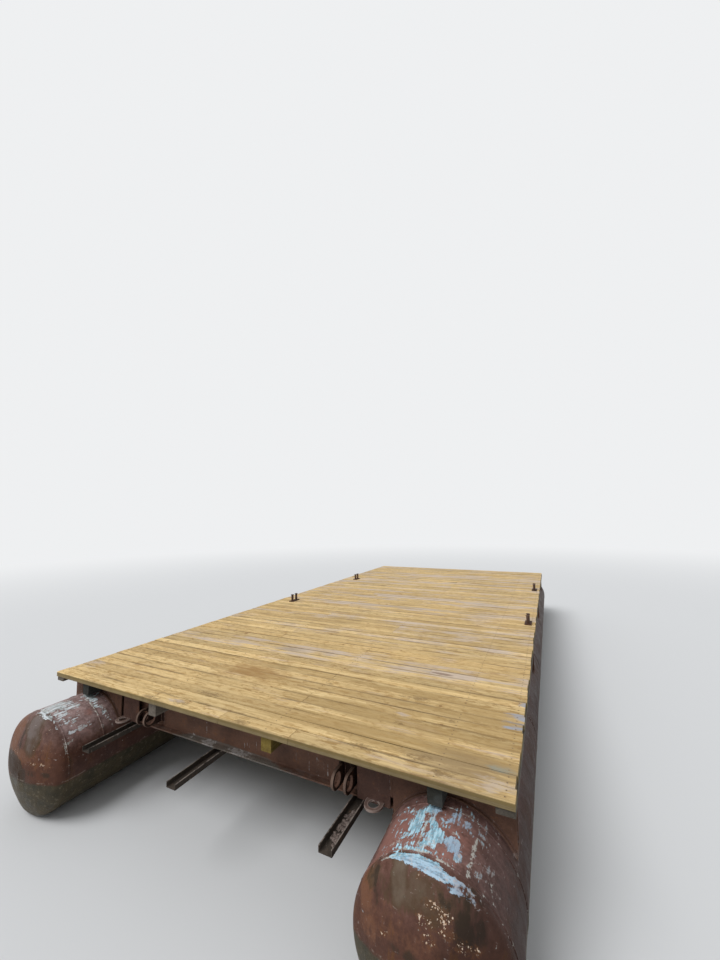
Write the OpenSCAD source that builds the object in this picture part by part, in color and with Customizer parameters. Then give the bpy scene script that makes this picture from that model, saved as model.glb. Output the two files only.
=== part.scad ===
// Floating pontoon platform: a board deck on a rusted steel frame that two long cylinder floats carry.
// Millimetres, +Z up. X runs across the deck and Y along the floats. The origin lies under the middle
// of the platform, level with the lowest line of the floats. "Front" is the end towards -Y.

/* [Deck] */
// Width of the deck, across the floats
deck_w = 5270; // [4900:10:5800]
// Width of one deck board
board_w = 140; // [120:5:160]
// Gap between two deck boards
board_gap = 6; // [2:1:12]
// Number of deck boards, counted along the floats
board_rows = 72; // [60:1:84]
// Thickness of the deck boards
board_t = 55; // [35:1:65]

/* [Joists] */
// Width of a joist
joist_w = 110; // [75:5:125]
// Height of a joist
joist_h = 140; // [100:5:200]
// Distance from an end of the deck to the ends of the joists
joist_end_in = 40; // [0:5:120]
// Distance from the middle of a float to the middle of the joist above it
float_joist_in = 65; // [0:5:120]
// Distance of the left inner joist from the centre line
left_inner_joist_x = 915; // [700:5:1200]
// Distance of the newer middle joist from the centre line
middle_joist_x = 590; // [300:5:900]
// Width of the flat joist under the boards' ends
edge_joist_w = 125; // [90:5:160]
// Height of the flat joist
edge_joist_h = 48; // [35:1:60]
// Distance from an end of the deck to the ends of the flat joists
edge_joist_end_in = 12; // [0:2:60]

/* [Floats] */
// Outer diameter of a float
float_d = 1020; // [920:10:1100]
// Wall thickness of the barrels and the heads
float_wall = 8; // [5:0.5:14]
// Distance from a side of the deck to the middle of the float
float_in = 475; // [440:5:520]
// Distance from an end of the deck to the tips of the floats
head_out = 552; // [400:2:800]
// Radius of the shallow crown of a head
crown_r = 1020; // [800:10:1400]
// Radius of the knuckle between crown and rim
knuckle_r = 102; // [70:2:160]
// Straight rim of a head, up to its weld
head_rim = 20; // [10:1:60]

/* [Girders] */
// Depth of the girder's channel section
girder_h = 260; // [240:5:290]
// Width of the girder's flanges
girder_flange = 75; // [70:1:95]
// Thickness of the girder's web
girder_web_t = 7; // [5:0.5:10]
// Thickness of the girder's flanges
girder_flange_t = 12; // [8:0.5:14]
// Distance from an end of the deck to the flange tips of the end girder
girder_in = 235; // [200:5:300]
// Distance from a side of the deck to the ends of the girders
girder_end_in = 35; // [20:5:60]

/* [Saddles] */
// Half the width of a saddle, from the middle of its float
saddle_half_w = 455; // [420:5:458]
// Thickness of the saddle's upright plates
saddle_t = 12; // [8:1:20]
// Thickness of the curved pad on the float
pad_t = 10; // [6:1:14]
// How far the pad reaches past the upright plates
pad_margin = 30; // [10:5:80]
// Height of the joists above the top of the floats
crown_gap = 25; // [20:1:40]
// Fitting gap of curved faces
fit_gap = 0.3; // [0.2:0.1:1]

/* [Guide channels] */
// Width of a guide channel
guide_w = 112; // [90:2:130]
// Height of a guide channel's flanges
guide_flange = 50; // [40:1:65]
// Thickness of a guide channel's web
guide_web_t = 6; // [4:0.5:8]
// Thickness of a guide channel's flanges
guide_flange_t = 8; // [6:0.5:11]
// Distance from an end of the deck to the ends of the guide channels
guide_out = 300; // [100:10:400]
// Gap between the left guide channel and the saddle beside it
left_guide_gap = 200; // [180:5:260]
// Distance of the middle guide channel from the centre line, to the left
middle_guide_x = 180; // [0:5:400]
// Gap between the right guide channel and the saddle beside it
right_guide_gap = 254; // [200:1:300]
// Diameter of the drain holes in the right guide channel
drain_d = 28; // [16:1:40]

/* [Coupling lugs] */
// Gap between the left pair of lugs and the closing plate beside it
left_lug_side_gap = 155; // [60:5:200]
// Gap between the right pair of lugs and the closing plate beside it
right_lug_side_gap = 35; // [10:5:120]
// Depth of the lug bore below the top of the girder
lug_drop = 123; // [115:1:135]
// How far the lug bore lies in front of the flange tips
lug_reach = 75; // [50:5:110]
// Outer radius of a lug
lug_r = 78; // [72:1:90]
// Diameter of the lug bore
lug_bore_d = 110; // [60:1:120]
// Thickness of a lug
lug_t = 25; // [16:1:30]
// Clear gap between the two lugs of a pair
lug_gap = 90; // [60:1:100]
// Thickness of the backing plate that a pair stands on
lug_back_t = 12; // [8:1:16]
// How far the backing plate reaches past the lugs
lug_back_margin = 34; // [10:1:36]

/* [Pad eyes] */
// Gap between the left pad eye and the saddle beside it
left_eye_gap = 33; // [10:1:60]
// Gap between the right pad eye and the saddle beside it
right_eye_gap = 75; // [60:1:100]
// Diameter of the pad eye's hole
eye_hole_d = 88; // [60:1:100]
// Outer radius of the pad eye, which is half its width too
eye_r = 76; // [66:1:90]
// Thickness of the pad eye
eye_t = 15; // [10:1:25]
// Clearance between the pad eye's hole and the closing plate
eye_clear = 1; // [1:1:20]
// Height of the pad eye's underside above the girder's underside
eye_lift = 15; // [5:5:60]
// Gap between the left closing plate and the saddle beside it
left_plate_gap = 45; // [5:5:60]
// Gap between the right closing plate and the saddle beside it
right_plate_gap = 25; // [5:5:60]
// Distance from a saddle to the far end of the closing plate
eye_plate_reach = 315; // [280:5:340]
// Thickness of the closing plate
eye_plate_t = 12; // [8:1:16]

/* [Mooring posts] */
// Distance from the left side of the deck to the left posts
left_post_in = 380; // [200:5:600]
// Distance from the right side of the deck to the right posts
right_post_in = 115; // [80:5:400]
// Place of the front pair of posts, in front of the middle of the deck
front_post_y = 825; // [400:5:1500]
// Place of the rear pair of posts, behind the middle of the deck
rear_post_y = 2270; // [1500:5:3500]
// Diameter of a post
post_d = 48; // [30:1:70]
// Height of the posts above the deck
post_h = 150; // [100:5:220]
// Distance between the two posts of a pair
post_pitch = 140; // [110:5:200]
// Thickness of the foot plate
foot_t = 12; // [8:1:20]
// How far the foot plate reaches past the posts
foot_margin = 30; // [15:1:60]

/* [Hidden] */

// Sides and ends, as signs of X and Y
LEFT = -1;
RIGHT = 1;
// Numbers of the four girders, from front to rear
FRONT = 0;
FRONT_INNER = 1;
REAR_INNER = 2;
REAR = 3;

// Facets of a full turn on the large curves and on the small ones
float_fn = 144;
small_fn = 48;

// Lengths along the floats
deck_l = board_rows * (board_w + board_gap) - board_gap;
joist_l = deck_l - 2 * joist_end_in;
guide_l = deck_l + 2 * guide_out;
tip_y = deck_l / 2 - girder_in;

// Heights, from the lowest line of the floats
float_r = float_d / 2;
girder_top = float_d + crown_gap;
girder_bottom = girder_top - girder_h;
deck_bottom = girder_top + joist_h;
deck_top = deck_bottom + board_t;
guide_bottom = girder_bottom - guide_flange;
lug_z = girder_top - lug_drop;

// Places across the deck
float_x = deck_w / 2 - float_in;
girder_half_l = deck_w / 2 - girder_end_in;
saddle_x = float_x - saddle_half_w;
left_eye_x = saddle_x - left_eye_gap - eye_r;
right_eye_x = saddle_x - right_eye_gap - eye_r;
left_guide_x = saddle_x - left_guide_gap - guide_w / 2;
right_guide_x = saddle_x - right_guide_gap - guide_w / 2;
eye_plate_x = saddle_x - eye_plate_reach;
eye_out = eye_plate_t + eye_clear + eye_hole_d / 2;
lug_pair_w = lug_gap + 2 * lug_t;
left_lug_x = eye_plate_x - left_lug_side_gap - lug_pair_w / 2;
right_lug_x = eye_plate_x - right_lug_side_gap - lug_pair_w / 2;

// Torispherical head: how far the crown's centre lies behind the knuckle's, and the depth of the dish
crown_back = sqrt(pow(crown_r - knuckle_r, 2) - pow(float_r - knuckle_r, 2));
dish_depth = crown_r - crown_back;
seam_y = deck_l / 2 + head_out - dish_depth - head_rim;

// Radii at which the pad and the girders clear the float
pad_in_r = float_r + fit_gap;
pad_out_r = pad_in_r + pad_t;
cope_r = pad_out_r + fit_gap;

// Drain holes of the right guide channel, as distances in front of the end girder's flange tips
drain_out = [95, 150];

// Rounding of the mooring posts' heads
cap_d = post_d * 1.4;
cap_h = post_d / 3;

// Extrudes a profile along X: the profile's first axis runs along Y and its second up
module along_x(length) {
    rotate([90, 0, 90]) linear_extrude(length, center = true) children();
}

// Extrudes a profile along Y: the profile's first axis runs along X and its second up
module along_y(length) {
    rotate([90, 0, 0]) linear_extrude(length, center = true) children();
}

// Places a piece in the frame of one girder: y = 0 at its flange tips, -y towards the nearer deck end
module at_girder(row) {
    translate([0, tip_y * (2 * row / REAR - 1), 0])
        mirror([0, row > FRONT_INNER ? 1 : 0, 0]) children();
}

// Mirrors a piece that is drawn on the right to the left side
module on_side(side) {
    mirror([side == LEFT ? 1 : 0, 0, 0]) children();
}

// Rolled channel section: web at x = 0, flanges towards +x, rounded where they meet the web
module channel_section(depth, flange, web_t, flange_t) {
    root_r = flange_t;
    hollow_h = depth - 2 * flange_t;
    difference() {
        square([flange, depth]);
        translate([web_t, flange_t]) {
            translate([root_r, 0]) square([flange, hollow_h]);
            translate([0, root_r]) square([flange, hollow_h - 2 * root_r]);
            for (y = [root_r, hollow_h - root_r])
                translate([root_r, y]) circle(r = root_r, $fn = small_fn);
        }
    }
}

// Half profile of a head's outer face, shrunk inwards by inset, with its rim below y = 0
module head_profile(inset, rim) {
    centre_x = float_r - knuckle_r;
    translate([0, -rim]) square([float_r - inset, rim]);
    translate([centre_x, 0]) intersection() {
        circle(r = knuckle_r - inset, $fn = float_fn);
        translate([-knuckle_r, 0]) square([2 * knuckle_r, knuckle_r]);
    }
    intersection() {
        translate([0, -crown_back]) circle(r = crown_r - inset, $fn = 2 * float_fn);
        polygon([[0, 0], [centre_x, 0],
                 [centre_x * (1 + dish_depth / crown_back), dish_depth], [0, dish_depth]]);
    }
}

// Dished end of a float, drawn at the front: a rim and a torispherical shell
module float_head(side) {
    color([0.38, 0.22, 0.18])
        translate([side * float_x, -seam_y, float_r])
            rotate([90, 0, 0]) translate([0, 0, head_rim])
                rotate_extrude($fn = float_fn) difference() {
                    head_profile(0, head_rim);
                    head_profile(float_wall, 2 * head_rim);
                }
}

// Rolled plate barrel of a float
module float_barrel(side) {
    color([0.42, 0.24, 0.2])
        translate([side * float_x, 0, float_r])
            along_y(2 * seam_y) difference() {
                circle(r = float_r, $fn = float_fn);
                circle(r = float_r - float_wall, $fn = float_fn);
            }
}

// Cross girder: a channel with its open side to the deck end, coped over both floats
module girder(row) {
    color([0.33, 0.2, 0.17])
        at_girder(row) difference() {
            translate([0, girder_flange, girder_bottom])
                along_x(2 * girder_half_l) mirror([1, 0])
                    channel_section(girder_h, girder_flange, girder_web_t, girder_flange_t);
            for (side = [LEFT, RIGHT])
                translate([side * float_x, girder_flange / 2, float_r])
                    rotate([90, 0, 0])
                        cylinder(r = cope_r, h = 2 * girder_flange, center = true, $fn = float_fn);
        }
}

// Saddle: two upright plates that hold the girder between them, on a curved pad welded to the float
module saddle(side, row) {
    upright_z = sqrt(pow(pad_out_r, 2) - pow(saddle_half_w, 2)) - pad_t;
    plate_h = girder_top - float_r - upright_z;
    pad_l = girder_flange + 2 * (saddle_t + pad_margin);
    color([0.36, 0.22, 0.19])
        at_girder(row) translate([side * float_x, 0, float_r]) {
            for (y = [-saddle_t / 2, girder_flange + saddle_t / 2])
                translate([0, y, 0]) along_y(saddle_t) difference() {
                    translate([-saddle_half_w, upright_z]) square([2 * saddle_half_w, plate_h]);
                    circle(r = pad_in_r + pad_t / 2, $fn = float_fn);
                }
            translate([0, girder_flange / 2, 0]) along_y(pad_l) intersection() {
                difference() {
                    circle(r = pad_out_r, $fn = float_fn);
                    circle(r = pad_in_r, $fn = float_fn);
                }
                translate([-saddle_half_w, 0]) square([2 * saddle_half_w, float_d]);
            }
        }
}

// Guide channel: a light channel laid open side up, welded under the girders by its flange tips
module guide_channel(x, drains) {
    color([0.3, 0.27, 0.24])
        difference() {
            translate([x + guide_w / 2, 0, guide_bottom])
                along_y(guide_l) rotate(90)
                    channel_section(guide_w, guide_flange, guide_web_t, guide_flange_t);
            for (y = drains)
                translate([x, -tip_y - y, guide_bottom])
                    cylinder(d = drain_d, h = 4 * guide_web_t, center = true, $fn = small_fn);
        }
}

// Pair of coupling lugs: two round-ended plates with one pin bore, on a backing plate on the web
module coupling_lugs(side, row, x) {
    web_face = girder_flange - girder_web_t;
    back_w = lug_pair_w + 2 * lug_back_margin;
    color([0.4, 0.27, 0.22])
        at_girder(row) on_side(side) translate([x, 0, lug_z]) {
            for (lug = [-1, 1])
                translate([lug * (lug_gap + lug_t) / 2, 0, 0]) along_x(lug_t) difference() {
                    translate([-lug_reach, 0]) {
                        circle(r = lug_r, $fn = float_fn);
                        translate([0, -lug_r]) square([lug_reach + web_face, 2 * lug_r]);
                    }
                    translate([-lug_reach, 0]) circle(d = lug_bore_d, $fn = float_fn);
                }
            translate([-back_w / 2, web_face - lug_back_t, -lug_r])
                cube([back_w, lug_back_t, 2 * lug_r]);
        }
}

// Pad eye: a level, round-ended plate with a shackle hole, welded to a plate that closes the channel
module pad_eye(side, row, x, plate_gap) {
    color([0.4, 0.28, 0.24])
        at_girder(row) on_side(side) {
            translate([x, -eye_out, girder_bottom + eye_lift]) linear_extrude(eye_t) difference() {
                union() {
                    circle(r = eye_r, $fn = float_fn);
                    translate([-eye_r, 0]) square([2 * eye_r, eye_out - eye_plate_t / 2]);
                }
                circle(d = eye_hole_d, $fn = small_fn);
            }
            translate([eye_plate_x, -eye_plate_t, girder_bottom])
                cube([eye_plate_reach - plate_gap, eye_plate_t, girder_h]);
        }
}

// Pair of mooring posts with domed caps on one foot plate
module mooring_posts(x, y) {
    foot_w = post_d + 2 * foot_margin;
    color([0.3, 0.2, 0.16])
        translate([x, y, deck_top]) {
            translate([-foot_w / 2, -(post_pitch + foot_w) / 2, 0])
                cube([foot_w, post_pitch + foot_w, foot_t]);
            for (side = [-1, 1]) translate([0, side * post_pitch / 2, 0]) {
                cylinder(d = post_d, h = post_h - cap_h / 2, $fn = small_fn);
                translate([0, 0, post_h - cap_h]) rotate_extrude($fn = small_fn)
                    intersection() {
                        translate([0, cap_h - cap_d]) circle(r = cap_d, $fn = float_fn);
                        square([cap_d / 2, cap_h]);
                    }
            }
        }
}

// Long timber under the boards, standing on the girders
module joist(x) {
    color([0.5, 0.48, 0.4])
        translate([x - joist_w / 2, -joist_l / 2, girder_top])
            cube([joist_w, joist_l, joist_h]);
}

// Flat timber that ties the boards' ends together from below, flush with the side of the deck
module edge_joist(side) {
    length = deck_l - 2 * edge_joist_end_in;
    color([0.6, 0.52, 0.36])
        on_side(side) translate([deck_w / 2 - edge_joist_w, -length / 2, deck_bottom - edge_joist_h])
            cube([edge_joist_w, length, edge_joist_h]);
}

// Board deck, with its boards taken as one layer
module deck() {
    color([0.8, 0.68, 0.42])
        translate([-deck_w / 2, -deck_l / 2, deck_bottom])
            cube([deck_w, deck_l, board_t]);
}

deck();
edge_joist(LEFT);  // left_edge_joist
joist(-float_x + float_joist_in);  // left_float_joist
joist(-left_inner_joist_x);  // left_inner_joist
joist(middle_joist_x);  // middle_joist
joist(float_x - float_joist_in);  // right_float_joist
edge_joist(RIGHT);  // right_edge_joist
float_barrel(LEFT);  // left_float_barrel
float_head(LEFT);  // left_float_front_head
mirror([0, 1, 0]) float_head(LEFT);  // left_float_rear_head
float_barrel(RIGHT);  // right_float_barrel
float_head(RIGHT);  // right_float_front_head
mirror([0, 1, 0]) float_head(RIGHT);  // right_float_rear_head
girder(FRONT);  // front_girder
girder(FRONT_INNER);  // front_inner_girder
girder(REAR_INNER);  // rear_inner_girder
girder(REAR);  // rear_girder
saddle(LEFT, FRONT);  // left_front_saddle
saddle(LEFT, FRONT_INNER);  // left_front_inner_saddle
saddle(LEFT, REAR_INNER);  // left_rear_inner_saddle
saddle(LEFT, REAR);  // left_rear_saddle
saddle(RIGHT, FRONT);  // right_front_saddle
saddle(RIGHT, FRONT_INNER);  // right_front_inner_saddle
saddle(RIGHT, REAR_INNER);  // right_rear_inner_saddle
saddle(RIGHT, REAR);  // right_rear_saddle
guide_channel(-left_guide_x, []);  // left_guide_channel
guide_channel(-middle_guide_x, []);  // middle_guide_channel
guide_channel(right_guide_x, drain_out);  // right_guide_channel
coupling_lugs(LEFT, FRONT, left_lug_x);  // left_front_lugs
coupling_lugs(LEFT, REAR, left_lug_x);  // left_rear_lugs
coupling_lugs(RIGHT, FRONT, right_lug_x);  // right_front_lugs
coupling_lugs(RIGHT, REAR, right_lug_x);  // right_rear_lugs
pad_eye(LEFT, FRONT, left_eye_x, left_plate_gap);  // left_front_pad_eye
pad_eye(LEFT, REAR, left_eye_x, left_plate_gap);  // left_rear_pad_eye
pad_eye(RIGHT, FRONT, right_eye_x, right_plate_gap);  // right_front_pad_eye
pad_eye(RIGHT, REAR, right_eye_x, right_plate_gap);  // right_rear_pad_eye
mooring_posts(left_post_in - deck_w / 2, -front_post_y);  // left_front_posts
mooring_posts(left_post_in - deck_w / 2, rear_post_y);  // left_rear_posts
mooring_posts(deck_w / 2 - right_post_in, -front_post_y);  // right_front_posts
mooring_posts(deck_w / 2 - right_post_in, rear_post_y);  // right_rear_posts
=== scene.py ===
import math

import bmesh
import bpy
import numpy as np
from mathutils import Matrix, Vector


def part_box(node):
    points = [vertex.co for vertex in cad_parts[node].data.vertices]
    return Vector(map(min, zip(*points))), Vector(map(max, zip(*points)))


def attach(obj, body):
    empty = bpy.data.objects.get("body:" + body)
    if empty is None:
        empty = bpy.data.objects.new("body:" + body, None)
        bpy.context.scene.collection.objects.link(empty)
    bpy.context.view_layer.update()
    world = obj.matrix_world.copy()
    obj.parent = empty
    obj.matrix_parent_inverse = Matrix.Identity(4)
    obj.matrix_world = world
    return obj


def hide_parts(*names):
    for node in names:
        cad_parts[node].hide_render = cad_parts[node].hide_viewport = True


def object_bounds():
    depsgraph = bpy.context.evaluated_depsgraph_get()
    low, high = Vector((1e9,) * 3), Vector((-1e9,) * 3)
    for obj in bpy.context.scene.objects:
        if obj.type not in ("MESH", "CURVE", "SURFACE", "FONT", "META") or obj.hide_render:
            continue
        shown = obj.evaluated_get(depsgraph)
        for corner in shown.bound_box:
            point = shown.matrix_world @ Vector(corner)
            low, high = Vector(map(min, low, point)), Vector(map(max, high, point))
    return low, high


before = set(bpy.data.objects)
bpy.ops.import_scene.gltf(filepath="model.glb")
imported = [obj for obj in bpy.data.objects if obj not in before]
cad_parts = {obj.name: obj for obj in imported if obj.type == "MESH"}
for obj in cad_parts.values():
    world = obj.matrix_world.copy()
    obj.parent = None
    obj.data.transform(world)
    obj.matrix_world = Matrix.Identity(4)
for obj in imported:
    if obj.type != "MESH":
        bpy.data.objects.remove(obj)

cad_low, cad_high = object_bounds()
scene = bpy.context.scene
scene.view_settings.view_transform = "Standard"

# Camera: a wide lens held by hand some three metres in front of the deck's right front corner and
# two metres above the boards, looking over the deck to the left and a little up, with a slight
# roll.
camera_place = (2.9312, -8.05, 3.09)
camera_turn = math.radians(-25.928)
camera_rise = math.radians(5.312)
camera_roll = math.radians(-0.995)
focal_pixels, picture_high = 385, 960

ahead = np.array([math.sin(camera_turn) * math.cos(camera_rise),
                  math.cos(camera_turn) * math.cos(camera_rise), math.sin(camera_rise)])
level_right = np.array([math.cos(camera_turn), -math.sin(camera_turn), 0.0])
level_up = np.cross(level_right, ahead)
right = math.cos(camera_roll) * level_right + math.sin(camera_roll) * level_up
up = math.cos(camera_roll) * level_up - math.sin(camera_roll) * level_right
pose = np.eye(4)
pose[:3, 0], pose[:3, 1], pose[:3, 2], pose[:3, 3] = right, up, -ahead, camera_place

eye = bpy.data.cameras.new("camera")
eye.sensor_width = 36.0
eye.lens = eye.sensor_width * focal_pixels / picture_high
eye.clip_end = 200.0
camera = bpy.data.objects.new("camera", eye)
camera.matrix_world = pose.T.tolist()
scene.collection.objects.link(camera)
scene.camera = camera

# Floor and light: a pale level floor under a pale dome, and one large soft lamp high in front on
# the left, at a level where a colour shows about as it is written.
floor_half = 60.0
floor_tone = (0.62, 0.63, 0.64)
far_tone = (0.86, 0.87, 0.88)
fade_start, fade_end = 10.0, 34.0
dome_strength = 0.64
lamp_strength = 2.10
lamp_spread = math.radians(35)
lamp_turn = (math.radians(32), math.radians(-22), 0)


class Value:
    """A number that varies over a surface. Arithmetic on it adds Math nodes to its finish."""

    def __init__(self, finish, socket):
        self.finish, self.socket = finish, socket

    def _math(self, operation, *terms):
        return self.finish.node("ShaderNodeMath", {"operation": operation}, dict(enumerate(terms)))

    def __add__(self, other):
        return self._math("ADD", self, other)

    def __sub__(self, other):
        return self._math("SUBTRACT", self, other)

    def __rsub__(self, other):
        return self._math("SUBTRACT", other, self)

    def __mul__(self, other):
        return self._math("MULTIPLY", self, other)

    def __truediv__(self, other):
        return self._math("DIVIDE", self, other)

    def __pow__(self, other):
        return self._math("POWER", self, other)

    def __abs__(self):
        return self._math("ABSOLUTE", self)

    def sine(self):
        return self._math("SINE", self)

    def or_more(self, other):
        return self._math("MAXIMUM", self, other)

    def or_less(self, other):
        return self._math("MINIMUM", self, other)

    def other(self, output):
        """Another output of the node that this value comes from."""
        return Value(self.finish, self.socket.node.outputs[output])

    def ramp(self, start, end):
        """0 below start, 1 above end, smooth between; falls instead where start lies above end."""
        return self.finish.node("ShaderNodeMapRange", {"interpolation_type": "SMOOTHSTEP"},
                                {"Value": self, "From Min": start, "From Max": end})

    __radd__, __rmul__ = __add__, __mul__


class Finish:
    """One material: its Principled shader, and the nodes that feed it."""

    def __init__(self, name, **constants):
        self.material = bpy.data.materials.new(name)
        self.material.use_nodes = True
        self.tree = self.material.node_tree
        self.shader = self.tree.nodes["Principled BSDF"]
        for socket, value in constants.items():
            self.shader.inputs[socket.replace("_", " ")].default_value = value
        coordinates = self.tree.nodes.new("ShaderNodeTexCoord")
        self.place = Value(self, coordinates.outputs["Object"])

    def node(self, kind, settings, sockets, output=0):
        """Adds one node: its settings first, then the values or links of its sockets."""
        made = self.tree.nodes.new(kind)
        for name, value in settings.items():
            setattr(made, name, value)
        for name, value in sockets.items():
            if isinstance(value, Value):
                self.tree.links.new(value.socket, made.inputs[name])
            else:
                made.inputs[name].default_value = value
        return Value(self, made.outputs[output])

    def feed(self, **sockets):
        """Links values to the sockets of the Principled shader."""
        for name, value in sockets.items():
            self.tree.links.new(value.socket, self.shader.inputs[name.replace("_", " ")])

    def read(self, attribute, output):
        """A mesh attribute of the piece: its Vector, Color, Fac or Alpha."""
        return self.node("ShaderNodeAttribute", {"attribute_name": attribute}, {}).other(output)

    def parts(self, vector):
        """The three numbers of a vector or a colour."""
        split = self.node("ShaderNodeSeparateXYZ", {}, {"Vector": vector})
        return [split.other(axis) for axis in range(3)]

    def stretched(self, vector, scale):
        """A vector or a colour with its three numbers scaled one by one."""
        return self.node("ShaderNodeVectorMath", {"operation": "MULTIPLY"}, {0: vector, 1: scale})

    def noise(self, scale, detail=4.0, roughness=0.55, twist=0.0, vector=None):
        """Cloudy noise around 0.5 over a vector, or over the piece's own place, with one swell about
        every 1 / scale metres. A scale of three numbers is one for each axis."""
        vector = vector or self.place
        if isinstance(scale, tuple):
            vector, scale = self.stretched(vector, scale), 1.0
        return self.node("ShaderNodeTexNoise", {},
                         {"Vector": vector, "Scale": scale, "Detail": detail,
                          "Roughness": roughness, "Distortion": twist})

    def clouds(self, scale, detail=4.0, roughness=0.55, twist=0.0, vector=None):
        """The same noise drawn out to fill 0 to 1."""
        return self.noise(scale, detail, roughness, twist, vector).ramp(0.30, 0.70)

    def spot(self, across, along, middle, half):
        """1 in the middle of an ellipse, 0 on its rim and less outside."""
        u = (across - middle[0]) * (1 / half[0])
        v = (along - middle[1]) * (1 / half[1])
        return 1 - u * u - v * v

    def spots(self, across, along, ellipses):
        """The largest of several spots, each given by its middle and its half sizes."""
        field = self.spot(across, along, *ellipses[0])
        for middle, half in ellipses[1:]:
            field = field.or_more(self.spot(across, along, middle, half))
        return field

    def mix(self, share, first, second):
        """The first colour where share is 0 and the second where it is 1."""
        first, second = [(*tone, 1.0) if isinstance(tone, tuple) else tone for tone in (first, second)]
        return self.node("ShaderNodeMix", {"data_type": "RGBA"},
                         {"Factor": share, 6: first, 7: second}, 2)

    def tinted(self, colour, strength):
        """A colour made darker or lighter by a value."""
        grey = self.node("ShaderNodeCombineXYZ", {}, {0: strength, 1: strength, 2: strength})
        return self.stretched(colour, grey)

    def relief(self, height, depth):
        """A Bump node whose height stands for depth metres, linked to the shader's normal."""
        bump = self.node("ShaderNodeBump", {}, {"Height": height, "Distance": depth})
        self.feed(Normal=bump)


floor_finish = Finish("pale_floor", Roughness=0.85, Base_Color=(*floor_tone, 1.0))
across, along, height = floor_finish.parts(floor_finish.place)
distance = (across * across + along * along) ** 0.5
seen = floor_finish.node("ShaderNodeLightPath", {}, {})
shown = seen.other("Is Camera Ray")
for ray in ("Is Glossy Ray", "Is Transmission Ray"):
    shown = shown.or_more(seen.other(ray))
glow = floor_finish.node("ShaderNodeEmission", {}, {"Color": (*far_tone, 1.0)})
blend = floor_finish.node("ShaderNodeMixShader", {},
                          {"Fac": shown * distance.ramp(fade_start, fade_end),
                           1: Value(floor_finish, floor_finish.shader.outputs[0]), 2: glow})
floor_finish.tree.links.new(blend.socket, floor_finish.tree.nodes["Material Output"].inputs[0])

floor_mesh = bpy.data.meshes.new("floor")
corners = [(-floor_half, -floor_half, 0), (floor_half, -floor_half, 0),
           (floor_half, floor_half, 0), (-floor_half, floor_half, 0)]
floor_mesh.from_pydata(corners, [], [(0, 1, 2, 3)])
floor_mesh.materials.append(floor_finish.material)
floor = bpy.data.objects.new("floor", floor_mesh)
scene.collection.objects.link(floor)

world = bpy.data.worlds.new("dome")
world.use_nodes = True
scene.world = world
dome = world.node_tree
background = dome.nodes["Background"]
background.inputs["Color"].default_value = (*far_tone, 1.0)
rays = dome.nodes.new("ShaderNodeLightPath")
shown = rays.outputs["Is Camera Ray"]
for ray in ("Is Glossy Ray", "Is Transmission Ray"):
    either = dome.nodes.new("ShaderNodeMath")
    either.operation = "MAXIMUM"
    dome.links.new(shown, either.inputs[0])
    dome.links.new(rays.outputs[ray], either.inputs[1])
    shown = either.outputs[0]
strength = dome.nodes.new("ShaderNodeMapRange")
strength.inputs["To Min"].default_value = dome_strength
strength.inputs["To Max"].default_value = 1.0
dome.links.new(shown, strength.inputs["Value"])
dome.links.new(strength.outputs["Result"], background.inputs["Strength"])

lamp_data = bpy.data.lights.new("lamp", "SUN")
lamp_data.energy = lamp_strength
lamp_data.angle = lamp_spread
lamp = bpy.data.objects.new("lamp", lamp_data)
lamp.rotation_euler = lamp_turn
scene.collection.objects.link(lamp)

# Floats: two long cylinders rolled from 8 mm plate in courses and closed by pressed dished heads.
# The plate has sunk a little along its welds and carries shallow dents from ice and knocks. The
# old blue and white top coats have torn down to patches over red-brown primer.
barrel_low, barrel_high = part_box("right_float_barrel")
float_radius = (barrel_high.z - barrel_low.z) / 2
float_axis = (barrel_low.x + barrel_high.x) / 2
seam_place = barrel_high.y
head_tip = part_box("right_float_rear_head")[1].y
crown_radius, knuckle_radius, head_rim = 1.020, 0.102, 0.020
girder_places = (-4.98, -1.66, 1.66, 4.98)
draught_line = 0.47
draught_slope = 0.02
turn_steps = 240
close_stretch = 1.15
course_ends = {-1: (-5.587, -5.225, -3.30, -1.10, 1.10, 3.30, 5.587),
               1: (-5.587, -5.145, -3.05, -0.95, 1.30, 3.45, 5.587)}
wave_depths = (0.0006, 0.0005)
valley_depth, valley_half = 0.0022, 0.035
dent_count = 70
dent_sizes = (0.05, 0.22)
dent_depths = (0.0008, 0.0055)
unsunk_half = 0.14
# Painted shade: the outer flank of the right float is darkened from this far round from the crown, deepening
# over this width, for the shadow that falls on that side.
flank_shade_start, flank_shade_width = 0.12, 0.24

paint_brown = (0.088, 0.035, 0.020)
paint_plum = (0.076, 0.041, 0.034)
paint_rust = (0.130, 0.053, 0.019)
# Primer red and pink rust also carry a painted lit side on the floats.
primer_red_and_lit = (0.285, 0.138, 0.114)
rust_pink_and_lit = (0.158, 0.070, 0.038)
film_thin = (0.072, 0.044, 0.024)
dirt_and_shade_dark = (0.036, 0.024, 0.016)
slime_dark = (0.036, 0.033, 0.020)
slime_olive = (0.075, 0.060, 0.034)
slime_fleck = (0.17, 0.145, 0.10)
scum_pale = (0.27, 0.23, 0.19)
line_pale = (0.50, 0.52, 0.48)
scale_pale = (0.46, 0.39, 0.36)
chip_brown = (0.42, 0.25, 0.14)
chip_pale = (0.72, 0.62, 0.52)


def piece_of(name, mesh, finish):
    """A piece that shows a mesh in one finish and rides on the part's one body."""
    mesh.materials.append(finish.material)
    mesh.shade_smooth()
    piece = bpy.data.objects.new(name, mesh)
    scene.collection.objects.link(piece)
    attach(piece, "root")
    return piece


def surface(name, points, faces, finish):
    """A piece from an array of its points and a list of its faces."""
    mesh = bpy.data.meshes.new(name)
    mesh.from_pydata(points.reshape(-1, 3).tolist(), [], faces)
    return piece_of(name, mesh, finish)


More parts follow.
